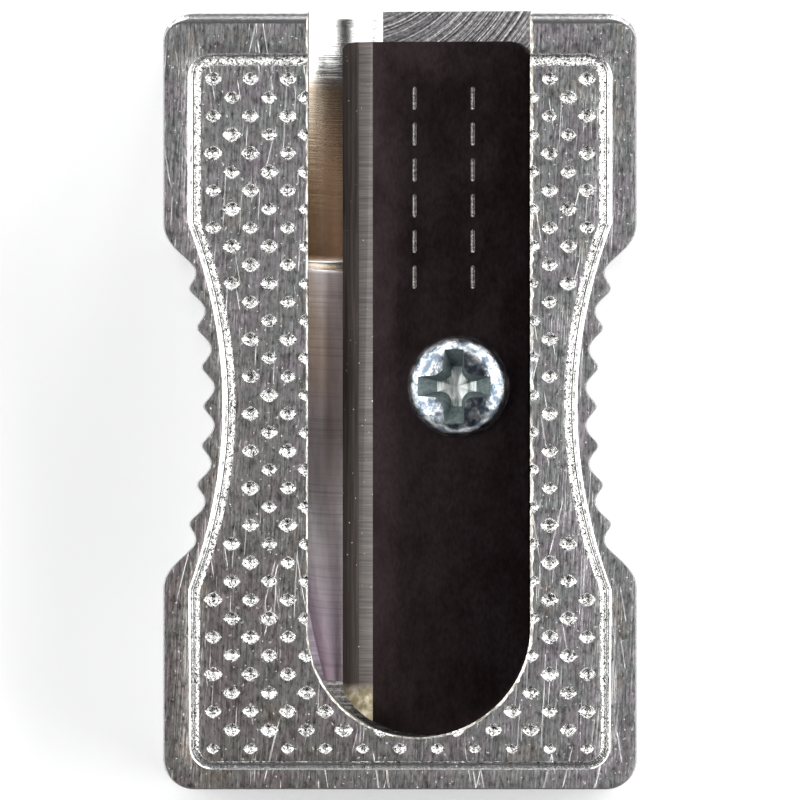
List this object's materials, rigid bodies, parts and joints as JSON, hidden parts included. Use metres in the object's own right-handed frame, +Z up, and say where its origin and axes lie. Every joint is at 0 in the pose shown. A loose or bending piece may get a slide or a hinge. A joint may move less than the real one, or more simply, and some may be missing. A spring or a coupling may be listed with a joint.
{
  "type": "wedge pencil sharpener",
  "caption": "Hand-held wedge pencil sharpener: ribbed metal block with a conical pencil guide, a screwed-down blade and a chip slot.",
  "frame": {"origin": "centre of the underside of the bounding box, on the surface that the sharpener rests on", "axes": "+Z up from the flat underside, +Y along the pencil's axis towards the mouth that the pencil enters, +X to the blade's side of the cutting edge"},
  "size_m": [0.0152, 0.0268, 0.0116],
  "materials": {
    "body_metal": "bare light metal, worn satin with fine scratches",
    "blade_steel": "blackened steel with a bright ground edge",
    "screw_plating": "bright zinc plating"
  },
  "bodies": {
    "body": {"body": "body_metal"},
    "blade": {"blade": "blade_steel"},
    "screw": {"screw": "screw_plating"}
  },
  "joints": [
    {"name": "blade_lift", "type": "slide", "parent": "body", "child": "blade", "axis": [-0.1736, -0.1963, 0.965], "range_m": [0, 0.0039]},
    {"name": "screw_turn", "type": "hinge", "parent": "blade", "child": "screw", "pos_m": [0.00201, -0.00051, 0.00803], "axis": [-0.1736, -0.1963, 0.965], "range_deg": [0, 3510]}
  ],
  "couplings": [
    {"joint": "screw_turn", "follows": "blade_lift", "rad_per_m": 15708}
  ]
}
